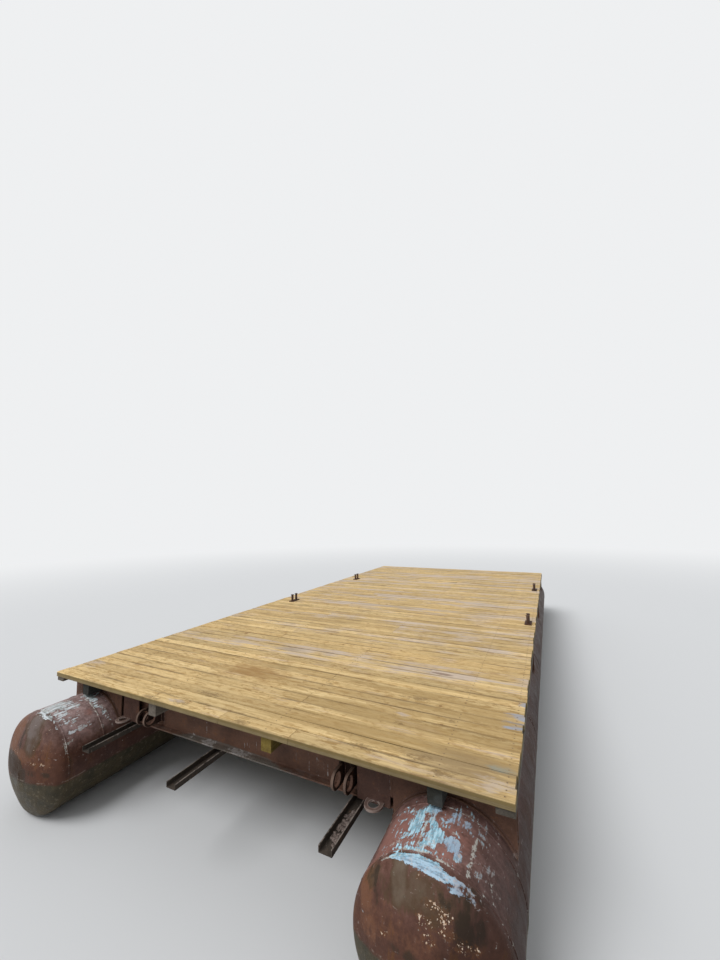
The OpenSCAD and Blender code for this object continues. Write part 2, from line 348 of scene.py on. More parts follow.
def tube(rows, columns, first=0, closed=False):
    """The faces of a tube whose points run round it row after row, the first point having the
    number first. A cap closes either end, or else the last row joins the first."""
    row = np.arange(rows if closed else rows - 1)[:, None]
    this, following = row * columns, (row + 1) % rows * columns
    here, there = np.arange(columns), (np.arange(columns) + 1) % columns
    quads = np.stack([this + here, this + there, following + there, following + here], -1)
    faces = (quads.reshape(-1, 4) + first).tolist()
    if not closed:
        cap = np.arange(columns) + first
        faces += [cap[::-1].tolist(), (cap + (rows - 1) * columns).tolist()]
    return faces


def paint_on(piece, name, kind, values):
    """Writes an array, one row a point, into a mesh attribute that the finish reads."""
    written = piece.data.attributes.new(name, kind, "POINT")
    field = {"FLOAT_VECTOR": "vector", "FLOAT_COLOR": "color"}[kind]
    written.data.foreach_set(field, np.asarray(values, np.float32).ravel())


def marks(first, second, ellipses):
    """The soft union of ellipses, each with its middle, two half sizes, a turn in degrees and a
    strength: strength in the middle, falling with the square of the distance, 0 well outside."""
    field = np.zeros_like(first)
    for x, y, half_x, half_y, turn, strength in ellipses:
        cosine, sine = np.cos(np.radians(turn)), np.sin(np.radians(turn))
        u = ((first - x) * cosine + (second - y) * sine) / half_x
        v = ((second - y) * cosine - (first - x) * sine) / half_y
        field = np.maximum(field, strength * np.clip(1.3 - 0.8 * (u * u + v * v), 0, 1))
    return field


def arc(out, along, radius, turn):
    """Points round a centre at turns from the way along the float, each with its outward way."""
    way = np.stack([np.sin(turn), np.cos(turn)], 1)
    return np.concatenate([way * radius + (out, along), way], 1)


def float_profile():
    """Half the outline of a float from tip to tip, as distance from the axis, place along it and
    the outward way: an arc of the crown, an arc of the knuckle, the straight plate, and back. The
    plate's points stand closer together near its ends."""
    middle = float_radius - knuckle_radius
    meet = math.asin(middle / (crown_radius - knuckle_radius))
    crown = arc(0, head_tip - crown_radius, crown_radius, np.linspace(0, meet, 20)[1:])
    knuckle = arc(middle, seam_place + head_rim, knuckle_radius, np.linspace(meet, np.pi / 2, 14)[1:])
    head = np.concatenate([crown, knuckle])
    end = np.linspace(seam_place, seam_place - close_stretch, 82)
    along = np.concatenate([end, np.linspace(end[-1], -end[-1], 170)[1:-1], -end[::-1]])
    plate = np.stack([np.full_like(along, float_radius), along, np.ones_like(along), 0 * along], 1)
    return np.concatenate([head, plate, head[::-1] * (1, -1, 1, -1)])


def float_finish(name, coat, coat_pale, coat_grey, film_tone, crown_sheen_tone):
    """Worn marine paint over two attributes. Marks holds top coat, olive film, crust, and dark dirt with
    some painted shade; tones holds the grey of the top coat, pale lines, primer or rust with a painted
    lit side, and a painted shade on the outer flank of the right float. Under them the paint is brown
    and plum in clouds, with a painted sheen of sky light on the crown, and below the draught line the
    belly is dark with slime. Noises tear the rims of every mark. The tones given are the top coat's
    own, its pale streaks', its greyed parts', the thick film's and the painted crown sheen's."""
    paint = Finish(name, Metallic=0.0, Specular_IOR_Level=0.12)
    x, y, z = paint.parts(paint.place)
    coat_field, film_field, crust_field = paint.parts(paint.read("marks", "Color"))
    dirt_and_shade_field = paint.read("marks", "Alpha")
    grey_field, line_field, primer_and_lit_field = paint.parts(paint.read("tones", "Color"))
    flank_shade_field = paint.read("tones", "Alpha")
    clouds = paint.clouds(1.7, 4)
    blots = paint.clouds(7.0, 6, 0.62)
    fine = paint.clouds(27, 6, 0.66)
    grit = paint.clouds(85, 4, 0.6)
    runs = paint.clouds((13, 13, 1.5), 6, 0.62, 0.2)
    streaky = paint.clouds((62, 9, 62), 5, 0.6, 0.15)
    torn = paint.clouds(15, 8, 0.70, 0.6)
    beyond_seam = abs(y).ramp(seam_place - 0.02, seam_place + 0.05)
    level = paint.clouds((10, 50, 50), 5, 0.6, 0.2)
    streaky = streaky + (level - streaky) * beyond_seam

    colour = paint.mix(clouds * (1 - beyond_seam * 0.6), paint_brown, paint_plum)
    # The crown is painted lighter and pinker: a painted sheen of sky light on the top of the float, less on
    # the heads.
    crown_sheen = z.ramp(0.66, 0.92) * (0.30 + blots * 0.50 + fine * 0.40) * (1 - beyond_seam * 0.7)
    colour = paint.mix(crown_sheen, colour, crown_sheen_tone)
    colour = paint.tinted(colour, 0.74 + blots * 0.26 + fine * 0.24)
    # The warm field is primer red on the barrels and pink rust on the heads, and also painted light: it
    # makes the right float's left flank and the left sides of the front heads lighter and redder.
    warm = (primer_and_lit_field + (runs - 0.5) * 0.5 + (fine - 0.5) * 0.35).ramp(0.15, 0.85)
    primer_rust_and_lit_tone = paint.mix(beyond_seam, primer_red_and_lit, rust_pink_and_lit)
    colour = paint.mix(warm * (0.72 + 0.15 * blots), colour, primer_rust_and_lit_tone)
    drips = (runs * 0.55 + blots * 0.45).ramp(0.62, 0.86) * z.ramp(1.0, 0.70) * (0.25 + 0.5 * beyond_seam)
    colour = paint.mix(drips, colour, paint_rust)
    film = (film_field + (runs - 0.5) * 0.75 + (blots - 0.5) * 0.4).ramp(0.22, 0.72)
    thick = (film_field + (blots - 0.5) * 0.5 + (runs - 0.5) * 0.3).ramp(0.55, 1.35)
    colour = paint.mix(film * (0.70 + 0.25 * fine), colour, paint.mix(thick, film_thin, film_tone))
    # Dark marks: dirt, and on the right half of the right float's front head a painted shade.
    dark = (dirt_and_shade_field + (runs - 0.5) * 0.8 + (fine - 0.5) * 0.4).ramp(0.30, 0.85)
    colour = paint.mix(dark * 0.85, colour, dirt_and_shade_dark)
    # Painted shade darkens the outer flank of the right float.
    colour = paint.tinted(colour, 1 - 0.48 * flank_shade_field)

    spare = paint.clouds((1.6, 0.8, 1.6), 3) * 0.52
    spare = spare * z.ramp(0.80, 0.98) * (1 - beyond_seam)
    fit = coat_field.or_more(spare) + (streaky - 0.5) * 0.50 + (torn - 0.5) * 0.72
    patch = fit.ramp(0.53, 0.60)
    rim = fit.ramp(0.40, 0.56) * (torn * 0.5 + grit * 0.5).ramp(0.4, 0.7)
    shade = paint.mix(streaky.ramp(0.25, 0.85), coat, coat_pale)
    shade = paint.mix(grey_field * (0.7 + 0.3 * blots), shade, coat_grey)
    shade = paint.mix((fine * 0.6 + grit * 0.4).ramp(0.62, 0.80) * 0.7, shade, scale_pale)
    colour = paint.mix(rim * 0.45, colour, scale_pale)
    # Under the painted shade of the flank the top coat is mostly hidden.
    cover = (0.60 + 0.40 * (grit * 0.5 + streaky * 0.5).ramp(0.25, 0.55)) * (1 - 0.88 * flank_shade_field)
    colour = paint.mix(patch * cover, colour, shade)
    lines = (line_field + (fine - 0.5) * 0.9 + (grit - 0.5) * 0.5).ramp(0.50, 0.80)
    colour = paint.mix(lines * 0.65, colour, line_pale)

    speck = paint.clouds(72, 3, 0.5)
    chips = (crust_field * 0.5 + speck * 0.5).ramp(0.84, 0.90)
    halo = (crust_field * 0.5 + fine * 0.3 + speck * 0.2).ramp(0.55, 0.85)
    colour = paint.mix(halo * 0.45, colour, paint_rust)
    colour = paint.mix(chips * 0.9, colour, paint.mix(grit, chip_brown, chip_pale))

    wavy = z - x * draught_slope + (blots - 0.5) * 0.012 + (clouds - 0.5) * 0.016
    belly = wavy.ramp(draught_line + 0.008, draught_line - 0.022)
    drowned = paint.mix(blots, slime_dark, slime_olive)
    drowned = paint.mix(fine.ramp(0.72, 0.9) * 0.5, drowned, slime_fleck)
    colour = paint.mix(belly * 0.93, colour, drowned)
    scum = wavy.ramp(draught_line + 0.002, draught_line + 0.007)
    scum = scum * wavy.ramp(draught_line + 0.020, draught_line + 0.010)
    colour = paint.mix(scum * (blots * 0.5 + fine * 0.5).ramp(0.40, 0.70) * 0.5, colour, scum_pale)
    paint.feed(Base_Color=colour, Roughness=0.40 + 0.22 * blots + 0.14 * patch - 0.10 * belly)
    height = grit * 0.12 + blots * 0.25 + fine * 0.2 + patch * 0.35 + chips * 0.6 + drips * fine * 0.5
    paint.relief(height, 0.005)
    return paint


left_marks = {
    "coat": [(0.00, -5.50, 0.11, 0.17, 0, 0.90), (0.13, -5.46, 0.13, 0.20, 0, 0.56),
             (0.26, -5.50, 0.12, 0.12, 0, 0.48), (0.08, -5.62, 0.14, 0.04, 0, 0.80),
             (0.436, -5.50, 0.025, 0.05, 0, 0.66), (0.44, -5.43, 0.030, 0.035, 0, 0.62),
             (0.433, -5.35, 0.022, 0.06, 0, 0.70), (0.09, -5.175, 0.14, 0.045, 0, 0.85),
             (0.20, -5.20, 0.09, 0.03, 0, 0.66), (0.36, -5.16, 0.16, 0.03, 10, 0.46),
             (0.30, -5.60, 0.10, 0.03, 0, 0.46)],
    "grey": [(0.05, -5.50, 0.30, 0.24, 0, 0.45), (0.45, -5.43, 0.10, 0.16, 0, 0.65)],
    "line": [(0.24, -5.228, 0.30, 0.011, 0, 0.62), (0.50, -5.225, 0.08, 0.012, 0, 0.55),
             (0.40, -5.135, 0.22, 0.009, 5, 0.56), (0.55, -5.60, 0.13, 0.012, 0, 0.58),
             (0.52, -5.55, 0.012, 0.05, 20, 0.55), (0.02, -5.59, 0.10, 0.012, 0, 0.7)],
    "warm": [(0.30, -5.30, 0.05, 0.05, 0, 0.55), (0.50, -5.45, 0.10, 0.12, 0, 0.35)],
    "head_primer_and_lit": [(-0.22, 0.83, 0.12, 0.17, 0, 1.2), (-0.33, 0.66, 0.09, 0.06, 0, 0.8),
                  (0.02, 0.66, 0.20, 0.07, 0, 0.65), (0.32, 0.66, 0.12, 0.16, 0, 0.40)],
    "film": [(0.07, 0.92, 0.13, 0.13, 0, 1.1), (0.11, 0.82, 0.10, 0.16, 0, 0.80)],
    "crust": [(0.316, 0.620, 0.035, 0.022, 0, 1.15), (0.185, 0.740, 0.012, 0.03, 0, 1.0),
              (-0.10, 0.67, 0.09, 0.022, -12, 0.95), (0.21, 0.619, 0.06, 0.035, 0, 0.85),
              (0.27, 0.90, 0.03, 0.04, 0, 0.85), (0.42, 0.60, 0.05, 0.02, 0, 0.8)],
    "dark": [(-0.42, 0.60, 0.14, 0.24, 0, 0.50), (-0.12, 0.53, 0.24, 0.11, -12, 1.4),
             (-0.05, 0.80, 0.03, 0.10, 0, 0.55), (0.20, 0.53, 0.30, 0.03, 0, 0.55)]}
right_marks = {
    "coat": [(-0.08, -5.20, 0.09, 0.05, 0, 0.85), (-0.155, -5.30, 0.035, 0.11, 8, 1.0),
             (-0.165, -5.38, 0.055, 0.05, 0, 1.0), (-0.035, -5.36, 0.030, 0.11, 18, 0.95),
             (-0.005, -5.425, 0.060, 0.075, 0, 1.05), (-0.055, -5.50, 0.024, 0.07, -8, 0.95),
             (-0.09, -5.42, 0.012, 0.14, 0, 0.7), (0.105, -5.44, 0.060, 0.065, 0, 0.95),
             (0.155, -5.50, 0.035, 0.04, 0, 0.85), (-0.12, -5.560, 0.17, 0.018, -3, 0.85),
             (-0.13, -5.625, 0.15, 0.025, -4, 1.0), (0.0, -5.645, 0.16, 0.042, -5, 1.05),
             (0.14, -5.665, 0.10, 0.040, -12, 0.85), (0.24, -5.66, 0.08, 0.035, 0, 0.60),
             (0.07, -5.20, 0.05, 0.03, 40, 0.50), (0.05, -5.27, 0.06, 0.03, 20, 0.45),
             (0.31, -5.55, 0.05, 0.10, 25, 0.30)],
    "grey": [(0.02, -5.67, 0.28, 0.05, -4, 0.70), (0.115, -5.44, 0.07, 0.08, 0, 0.85),
             (0.25, -5.65, 0.12, 0.08, 0, 0.9), (0.08, -5.22, 0.16, 0.08, 0, 0.9)],
    "line": [(-0.09, -5.40, 0.010, 0.19, 0, 0.80), (-0.10, -5.572, 0.17, 0.010, -3, 0.85),
             (0.09, -5.592, 0.09, 0.009, 0, 0.75), (-0.25, -5.50, 0.09, 0.011, 15, 0.70),
             (-0.25, -5.62, 0.10, 0.010, 0, 0.7), (0.10, -5.35, 0.06, 0.01, 50, 0.55),
             (0.235, -5.36, 0.012, 0.10, -2, 0.80), (0.23, -5.50, 0.012, 0.09, 0, 0.80),
             (0.13, -5.147, 0.13, 0.012, 0, 0.55), (0.38, -5.50, 0.012, 0.12, 20, 0.45)],
    # Painted light: the first warm mark lightens the barrel's left flank, and the head marks left of the
    # middle lighten the left side of the front head; the rest is primer and rust.
    "warm": [(-0.30, -5.40, 0.16, 0.24, 0, 0.95), (0.0, -5.42, 0.24, 0.20, 0, 0.62)],
    "head_primer_and_lit": [(-0.39, 0.80, 0.05, 0.14, 0, 1.1), (-0.24, 0.73, 0.14, 0.10, 0, 0.40),
                  (-0.35, 0.62, 0.08, 0.08, 0, 0.7), (0.05, 0.86, 0.14, 0.04, 0, 0.3),
                  (0.0, 0.68, 0.20, 0.07, 0, 0.35)],
    "film": [(-0.16, 0.92, 0.06, 0.12, 0, 1.2), (-0.03, 0.90, 0.24, 0.10, 0, 0.75),
             (-0.26, 0.85, 0.12, 0.06, 0, 0.6), (0.16, 0.90, 0.16, 0.08, 0, 0.62)],
    "crust": [(0.045, 0.885, 0.07, 0.03, 0, 1.0), (0.01, 0.805, 0.08, 0.04, 0, 0.95),
              (0.125, 0.845, 0.07, 0.045, 0, 1.0), (0.13, 0.79, 0.08, 0.03, 0, 0.95),
              (0.24, 0.75, 0.10, 0.04, 0, 0.9), (-0.235, 0.652, 0.04, 0.018, 35, 1.1),
              (0.04, 0.735, 0.06, 0.04, 0, 0.9), (-0.05, 0.955, 0.04, 0.012, 0, 0.9),
              (-0.02, 0.975, 0.04, 0.02, 0, 0.8)],
    # The dark marks right of the middle are a painted shade on the side away from the light; the others are
    # dirt.
    "dark": [(-0.305, 0.82, 0.022, 0.10, 8, 0.75), (-0.22, 0.86, 0.16, 0.02, 0, 0.40),
             (0.25, 0.84, 0.10, 0.10, 0, 0.75), (0.17, 0.92, 0.12, 0.04, 0, 0.60),
             (0.0, 0.62, 0.20, 0.03, 0, 0.6), (-0.24, 0.74, 0.08, 0.03, 30, 0.45)]}
rear_crust = [(0.1, 0.7, 0.2, 0.1, 20, 0.8), (-0.2, 0.85, 0.1, 0.15, 0, 0.7)]


def mark(piece, points, side, painted, line_share=0.0):
    """Writes the marks and tones of a float at the points of a piece. A barrel is read unrolled,
    by metres round from the crown and metres along; a head is read by metres across and height.
    The rear heads get slow waves of film and two crusts instead."""
    x, y, z = points.T
    swing = np.arctan2(x - side * float_axis, z - float_radius) * float_radius
    seam = -seam_place - head_rim
    bend = np.arcsin(np.clip((seam - y) / knuckle_radius, 0, 1))
    unrolled = np.where(y < seam, seam - knuckle_radius * bend, y)
    head_x = x - side * float_axis
    on_head, behind = y < -seam_place, y > seam_place
    look, tone = np.zeros((len(points), 4)), np.zeros((len(points), 4))
    look[:, 0] = marks(swing, unrolled, painted["coat"])
    for column, kind in enumerate(("film", "crust", "dark"), 1):
        look[:, column] = marks(head_x, z, painted[kind]) * on_head
    look[behind, 1] = (0.5 + 0.4 * np.sin(9 * x + 4 * z))[behind]
    look[behind, 2] = marks(head_x, z, rear_crust)[behind]
    tone[:, 0] = marks(swing, unrolled, painted["grey"])
    tone[:, 1] = np.maximum(marks(swing, unrolled, painted["line"]), line_share)
    barrel_primer_and_lit = marks(swing, unrolled, painted["warm"])
    tone[:, 2] = np.where(on_head, marks(head_x, z, painted["head_primer_and_lit"]), barrel_primer_and_lit)
    # The last tone is the painted shade on the outer flank of the right float.
    tone[:, 3] = np.clip((swing - flank_shade_start) / flank_shade_width, 0, 1) * (side > 0)
    paint_on(piece, "marks", "FLOAT_COLOR", look)
    paint_on(piece, "tones", "FLOAT_COLOR", tone)


def float_shell(label, side, finish, painted, seed):
    """The skin of a float: its profile carried once round its axis, and pushed inwards by a sum of
    soft round dents, by a shallow valley along each ring weld and by slow waves of the plate."""
    draw = np.random.default_rng(seed)
    radius, along, out_radial, out_along = float_profile().T[:, :, None]
    turn = np.linspace(0, 2 * np.pi, turn_steps, endpoint=False)[None]
    sink = wave_depths[0] * (1 + np.sin(3 * turn + along * 1.7))
    sink = sink + wave_depths[1] * (1 + np.sin(7 * turn - along * 4.1))
    for place in course_ends[side]:
        sink = sink + valley_depth * np.exp(-((along - place) / valley_half) ** 2)
    for _ in range(dent_count):
        place = draw.uniform(-head_tip, head_tip)
        heading, size = draw.uniform(0, 2 * np.pi), draw.uniform(*dent_sizes)
        gap_turn = (turn - heading + np.pi) % (2 * np.pi) - np.pi
        reach = ((along - place) / (size * draw.uniform(0.7, 1.5))) ** 2 + (gap_turn * radius / size) ** 2
        sink = sink + draw.uniform(*dent_depths) * np.exp(-reach)
    # Under the girders and along its lowest line the plate stays where the CAD has it.
    for place in girder_places:
        sink = sink * (1 - np.exp(-((along - place) / unsunk_half) ** 4))
    sink = sink * np.clip(8 + 8 * np.cos(turn), 0, 1)
    pushed = radius - sink * out_radial
    ring = np.stack([side * float_axis + pushed * np.sin(turn), along - sink * out_along + 0 * turn,
                     float_radius + pushed * np.cos(turn)], -1)
    rows, columns = ring.shape[:2]
    tips = np.array([[side * float_axis, way * head_tip, float_radius] for way in (1, -1)])
    points = np.concatenate([ring.reshape(-1, 3), tips])
    # The tube's faces are turned over to face outwards, and fans to the tips take its caps' place.
    faces = [(a, d, c, b) for a, b, c, d in tube(rows, columns)[:-2]]
    first, last = rows * columns, (rows - 1) * columns
    faces += [(first, a, (a + 1) % columns) for a in range(columns)]
    faces += [(first + 1, last + (a + 1) % columns, last + a) for a in range(columns)]
    piece = surface(label + "_float_shell", points, faces, finish)
    mark(piece, points, side, painted)
    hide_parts(*[f"{label}_float_{part}" for part in ("barrel", "front_head", "rear_head")])


left_paint = float_finish("left_float_paint", coat=(0.230, 0.310, 0.300), coat_pale=(0.66, 0.74, 0.78),
                          coat_grey=(0.52, 0.50, 0.51), film_tone=(0.150, 0.125, 0.115),
                          crown_sheen_tone=(0.320, 0.225, 0.216))
right_paint = float_finish("right_float_paint", coat=(0.190, 0.430, 0.550), coat_pale=(0.46, 0.68, 0.79),
                           coat_grey=(0.31, 0.38, 0.50), film_tone=(0.125, 0.096, 0.068),
                           crown_sheen_tone=(0.215, 0.125, 0.112))
float_parts = {"left": (-1, left_paint, left_marks), "right": (1, right_paint, right_marks)}
for number, (label, (side, paint, painted)) in enumerate(float_parts.items()):
    float_shell(label, side, paint, painted, 21 + number)

# Welds of the floats: a ring where each head meets its barrel and where two rolled courses meet,
# and one lengthwise bead a course, staggered from course to course.
ring_steps = 420
bead_step = 0.014
bead_sunk = 0.003
ripple, bead_tail = 0.16, 0.25
seam_leans = {-1: (-46, -32, 20, -55, 12, -28), 1: (27, -20, -38, 34, -12, 30)}


def beads(name, runs, half_width, half_height, finish, seed):
    """Weld beads along runs of points with the way each bead stands out: across its run a bead is
    an ellipse, half sunk in the metal, that swells and shrinks with the ripples of the weld."""
    draw = np.random.default_rng(seed)
    ring = np.linspace(0, 2 * np.pi, 8, endpoint=False)
    points, faces, count = [], [], 0
    for path, out, closed in runs:
        out = np.broadcast_to(np.asarray(out, float), path.shape)
        out = out / np.linalg.norm(out, axis=1, keepdims=True)
        tangent = np.roll(path, -1, 0) - np.roll(path, 1, 0) if closed else np.gradient(path, axis=0)
        beside = np.cross(tangent, out)
        beside /= np.linalg.norm(beside, axis=1, keepdims=True)
        swell = 1 + ripple * draw.standard_normal(len(path))
        if not closed:
            swell[[0, -1]] = bead_tail
        across = half_width * swell[:, None, None] * np.cos(ring)[None, :, None] * beside[:, None]
        proud = half_height * swell[:, None, None] * np.sin(ring)[None, :, None] * out[:, None]
        points.append(np.clip(path[:, None] + across + proud, cad_low, cad_high).reshape(-1, 3))
        faces += tube(len(path), len(ring), count, closed)
        count += len(points[-1])
    return surface(name, np.concatenate(points), faces, finish)


def around(side, y, lean):
    """Points on the float's skin at a place along it and at leans in degrees from its crown, with
    their outward ways."""
    lean = np.radians(lean)
    out = np.stack([np.sin(lean), 0 * lean, np.cos(lean)], -1)
    path = out * (float_radius - bead_sunk) + (side * float_axis, 0, float_radius)
    path[:, 1] += y
    return path, out


for number, (label, (side, paint, painted)) in enumerate(float_parts.items()):
    rings, lengths = [], []
    for y in course_ends[side]:
        rings.append((*around(side, y, np.arange(ring_steps) * 360 / ring_steps), True))
    for start, end, lean in zip(course_ends[side][:-1], course_ends[side][1:], seam_leans[side]):
        y = np.linspace(start, end, int((end - start) / bead_step))
        lengths.append((*around(side, y, np.full(len(y), float(lean))), False))
    for kind, runs, pale in (("ring", rings, 0.22), ("length", lengths, 0.50)):
        piece = beads(f"{label}_float_{kind}_welds", runs, 0.008, 0.004, paint, 11 + number)
        points = np.empty(len(piece.data.vertices) * 3)
        piece.data.vertices.foreach_get("co", points)
        mark(piece, points.reshape(-1, 3), side, painted, pale)

# Frame: four cross girders of rolled channel, their open side to the deck's ends, standing in
# saddles of upright plates on curved pads. All of it is in the same dull red-brown, with rust
# freckles, thin pale runs and a few scuffs along the front girder.
frame_brown = (0.148, 0.078, 0.053)
frame_dark = (0.086, 0.047, 0.034)
frame_rust = (0.170, 0.078, 0.040)
scuff_pale = (0.33, 0.31, 0.30)
band_pale = (0.165, 0.140, 0.130)
smear_grey = (0.105, 0.110, 0.098)
smear_place = ((-0.12, 0.788), (0.80, 0.030))
web_marks = (((-0.34, 0.796), (0.100, 0.014)), ((0.055, 0.797), (0.170, 0.010)),
             ((-0.593, 0.808), (0.025, 0.014)), ((0.108, 0.850), (0.004, 0.050)),
             ((0.142, 0.875), (0.003, 0.030)), ((0.257, 0.885), (0.004, 0.045)),
             ((1.06, 0.855), (0.006, 0.060)))


def steel_finish(name, base, dark, rust, wear):
    """Painted structural steel: clouds of two browns, rust freckles and thin pale runs. Gives the
    finish, its colour so far, its two middle noises and its place as x, y and z."""
    paint = Finish(name, Metallic=0.0, Specular_IOR_Level=0.12)
    clouds = paint.clouds(2.2, 4)
    blots = paint.clouds(11, 6, 0.62)
    fine = paint.clouds(34, 5, 0.66)
    grit = paint.clouds(110, 3, 0.6)
    runs = paint.clouds((26, 26, 1.4), 4, 0.65)
    colour = paint.mix(clouds, base, dark)
    colour = paint.tinted(colour, 0.80 + blots * 0.22 + fine * 0.18)
    colour = paint.mix((blots * 0.6 + fine * 0.4).ramp(0.70, 0.90) * 0.6, colour, rust)
    colour = paint.mix((runs * 0.8 + fine * 0.2).ramp(0.88, 0.97) * 0.45, colour, wear)
    paint.feed(Roughness=0.5 + 0.2 * blots + 0.2 * fine)
    paint.relief(grit * 0.2 + blots * 0.5 + fine * 0.5, 0.004)
    return paint, colour, blots, fine, paint.parts(paint.place)


def rounded(name, finish, width):
    """A copy of a CAD node with its flat faces joined and its edges rounded off, in its place."""
    shape = bmesh.new()
    shape.from_mesh(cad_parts[name].data)
    bmesh.ops.remove_doubles(shape, verts=shape.verts, dist=2e-5)
    bmesh.ops.dissolve_limit(shape, angle_limit=0.02, verts=shape.verts, edges=shape.edges)
    mesh = bpy.data.meshes.new(name + "_plates")
    shape.to_mesh(mesh)
    shape.free()
    piece = piece_of(name + "_plates", mesh, finish)
    edges = piece.modifiers.new("edges", "BEVEL")
    edges.width, edges.segments = width, 2
    edges.limit_method, edges.angle_limit = "ANGLE", math.radians(32)
    piece.modifiers.new("normals", "WEIGHTED_NORMAL").keep_sharp = False
    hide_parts(name)


frame_paint, colour, blots, fine, (x, y, z) = steel_finish(
    "frame_paint", frame_brown, frame_dark, frame_rust, scuff_pale)
girder_low, girder_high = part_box("front_girder")
front_only = y.ramp(-4.90, -4.94)
band = z.ramp(girder_low.z + 0.022, girder_low.z + 0.004)
worn = frame_paint.clouds((2.6, 9, 26), 5, 0.68)
colour = frame_paint.mix(band * worn.ramp(0.45, 0.85) * 0.50, colour, band_pale)
smear = (frame_paint.spot(x, z, *smear_place) + (worn - 0.5) * 0.9).ramp(0.0, 0.5)
colour = frame_paint.mix(smear * front_only * 0.60, colour, smear_grey)
scuffs = frame_paint.spots(x, z, web_marks) + (fine - 0.5) * 1.5 + (worn - 0.5) * 0.8
colour = frame_paint.mix(scuffs.ramp(0.1, 0.9) * front_only * 0.7, colour, scuff_pale)
frame_paint.feed(Base_Color=colour)
for name in ("front_girder", "front_inner_girder", "rear_inner_girder", "rear_girder"):
    rounded(name, frame_paint, 0.003)
for side in ("left", "right"):
    for row in ("front", "front_inner", "rear_inner", "rear"):
        rounded(f"{side}_{row}_saddle", frame_paint, 0.0018)

# Guide channels: light channels laid open side up under the girders, bare and dark with rust and
# old grease, with their flange edges rubbed bright.
guide_names = ("left_guide_channel", "middle_guide_channel", "right_guide_channel")
guide_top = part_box("middle_guide_channel")[1].z
rubbed_tone = (0.30, 0.255, 0.225)
guide_finish, colour, blots, fine, (x, y, z) = steel_finish(
    "guide_steel", base=(0.066, 0.052, 0.042), dark=(0.040, 0.033, 0.027), rust=(0.120, 0.070, 0.044),
    wear=(0.30, 0.27, 0.24))
rubbed = z.ramp(guide_top - 0.007, guide_top - 0.001) * (blots * 0.5 + fine * 0.5).ramp(0.25, 0.65)
guide_finish.feed(Base_Color=guide_finish.mix(rubbed * 0.7, colour, rubbed_tone))
for name in guide_names:
    rounded(name, guide_finish, 0.0016)

# Coupling lugs: pairs of thick flame-cut ears on a back plate, each with a pin bore. Their faces
# are painted nearly black, dark rust with a painted shade over it, and their rims and bores are worn
# to a pale pinkish grey.
lug_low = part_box("right_front_lugs")[0]
ear_radius = 0.078
bore_radius = 0.055
bore_place = (-lug_low.y - ear_radius, lug_low.z + ear_radius)
rim_pale = (0.180, 0.122, 0.095)
bore_pink = (0.150, 0.082, 0.060)

# The base tones are dark rust, darkened further by a painted shade on the ears' faces.
lug_finish, colour, blots, fine, (x, y, z) = steel_finish(
    "lug_steel", base=(0.036, 0.019, 0.013), dark=(0.022, 0.012, 0.009), rust=(0.095, 0.042, 0.020),
    wear=(0.20, 0.16, 0.14))
outward = abs(y) - bore_place[0]
upward = z - bore_place[1]
reach = (outward.or_more(0) * outward.or_more(0) + upward * upward) ** 0.5
rim = (reach + (fine - 0.5) * 0.006).ramp(ear_radius - 0.005, ear_radius - 0.0015)
rim = rim * outward.ramp(-0.11, -0.06)
colour = lug_finish.mix(rim * (0.45 + 0.5 * blots), colour, rim_pale)
from_bore = (outward * outward + upward * upward) ** 0.5
bored = (from_bore + (fine - 0.5) * 0.003).ramp(bore_radius + 0.003, bore_radius + 0.0005)
colour = lug_finish.mix(bored * (0.55 + 0.4 * blots), colour, bore_pink)
lug_finish.feed(Base_Color=colour)
for side in ("left", "right"):
    for end in ("front", "rear"):
        rounded(f"{side}_{end}_lugs", lug_finish, 0.0022)

# Pad eyes: a level tongue with a shackle hole at the foot of the plate that closes the girder,
# rusted brown, with the rims of the tongue and its hole rubbed bright by shackles.
eye_radius = 0.076
eye_hole = 0.044
eye_ways = {"left": -1.596, "right": 1.554}
eye_out = 5.075
eye_root = 5.030
eye_worn = (0.190, 0.138, 0.118)
eye_pale = (0.330, 0.262, 0.232)
for side in ("left", "right"):
    eye_finish, colour, blots, fine, (x, y, z) = steel_finish(
        side + "_eye_steel", base=(0.108, 0.058, 0.045), dark=(0.076, 0.043, 0.034),
        rust=(0.160, 0.074, 0.038), wear=scuff_pale)
    aside = x - eye_ways[side]
    across = abs(y) - eye_out
    beyond = across.or_more(0)
    outer = (aside * aside + beyond * beyond) ** 0.5 + (fine - 0.5) * 0.006
    inner = (aside * aside + across * across) ** 0.5 + (fine - 0.5) * 0.006
    tongue = abs(y).ramp(eye_root, eye_root + 0.003)
    rim = outer.ramp(eye_radius - 0.008, eye_radius - 0.002)
    rim = rim.or_more(inner.ramp(eye_hole + 0.007, eye_hole + 0.002))
    colour = eye_finish.mix(tongue * (0.35 + 0.35 * blots), colour, eye_worn)
    colour = eye_finish.mix(tongue * rim * (0.4 + 0.6 * blots), colour, eye_pale)
    eye_finish.feed(Base_Color=colour)
    for end in ("front", "rear"):
        rounded(f"{side}_{end}_pad_eye", eye_finish, 0.0018)

# Mooring posts: short round bars with domed heads, in pairs on a foot plate, rusted brown and
# rubbed paler towards the head. Four hexagon bolts hold each foot plate to the deck.
post_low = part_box("right_front_posts")[0]
post_radius = 0.024
post_pitch = 0.140
plate_thick = 0.012
bolt_reach = (0.038, 0.108)
bolt_radius, bolt_high = 0.011, 0.0075
post_rubbed = (0.150, 0.110, 0.090)

post_finish, colour, blots, fine, (x, y, z) = steel_finish(
    "post_steel", base=(0.092, 0.050, 0.034), dark=(0.054, 0.033, 0.026), rust=(0.180, 0.075, 0.028),
    wear=(0.26, 0.22, 0.19))
rubbed = z.ramp(post_low.z + 0.05, post_low.z + 0.11) * blots
post_finish.feed(Base_Color=post_finish.mix(rubbed * 0.4, colour, post_rubbed))


